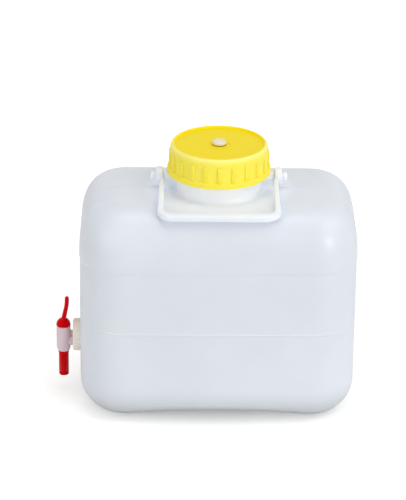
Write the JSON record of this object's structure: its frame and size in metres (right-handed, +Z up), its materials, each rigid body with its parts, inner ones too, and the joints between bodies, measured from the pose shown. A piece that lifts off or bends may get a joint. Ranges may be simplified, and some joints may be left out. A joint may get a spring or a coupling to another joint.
{
  "type": "dispensing canister",
  "caption": "Upright rounded canister with a wide screw cap, a vent plug, a swinging carrying handle and a small plug tap low on one end.",
  "frame": {"origin": "on the ground, under the middle of the whole object's box", "axes": "+Z up, -Y the front, where the handle lies, and -X the end with the tap"},
  "size_m": [0.3166, 0.172, 0.2887],
  "materials": {
    "natural_polyethylene": "satin, milky",
    "foam_seal": "matt",
    "yellow_plastic": "satin gloss",
    "dark_rubber": "matt",
    "white_plastic": "satin gloss",
    "ivory_plastic": "satin",
    "milky_plastic": "gloss, milky",
    "red_plastic": "gloss"
  },
  "bodies": {
    "tank": {"canister_body": "natural_polyethylene", "outlet_nut": "ivory_plastic", "outlet_seal": "dark_rubber", "tap_barrel": "milky_plastic"},
    "seal": {"cap_seal": "foam_seal"},
    "cap": {"screw_cap": "yellow_plastic", "vent_washer": "dark_rubber"},
    "vent": {"vent_plug": "white_plastic"},
    "handle": {"carry_handle": "white_plastic"},
    "tap": {"tap_plug": "red_plastic", "plug_ring_upper": "dark_rubber", "plug_ring_lower": "dark_rubber"}
  },
  "joints": [
    {"name": "handle_swing", "type": "hinge", "parent": "tank", "child": "handle", "pos_m": [0.01333, 0, 0.2489], "axis": [-1, 0, 0], "range_deg": [0, 201]},
    {"name": "cap_rise", "type": "slide", "parent": "tank", "child": "seal", "axis": [0, 0, 1], "range_m": [0, 0.0271]},
    {"name": "cap_turn", "type": "hinge", "parent": "seal", "child": "cap", "pos_m": [0.01333, 0, 0.27], "axis": [0, 0, 1], "range_deg": [0, 1620]},
    {"name": "vent_pull", "type": "slide", "parent": "cap", "child": "vent", "axis": [0, 0, 1], "range_m": [0, 0.012]},
    {"name": "tap_turn", "type": "hinge", "parent": "tank", "child": "tap", "pos_m": [-0.15063, 0, 0.06], "axis": [0, 0, 1], "range_deg": [0, 90]}
  ],
  "couplings": [
    {"joint": "cap_rise", "follows": "cap_turn", "m_per_rad": 0.00095493}
  ]
}
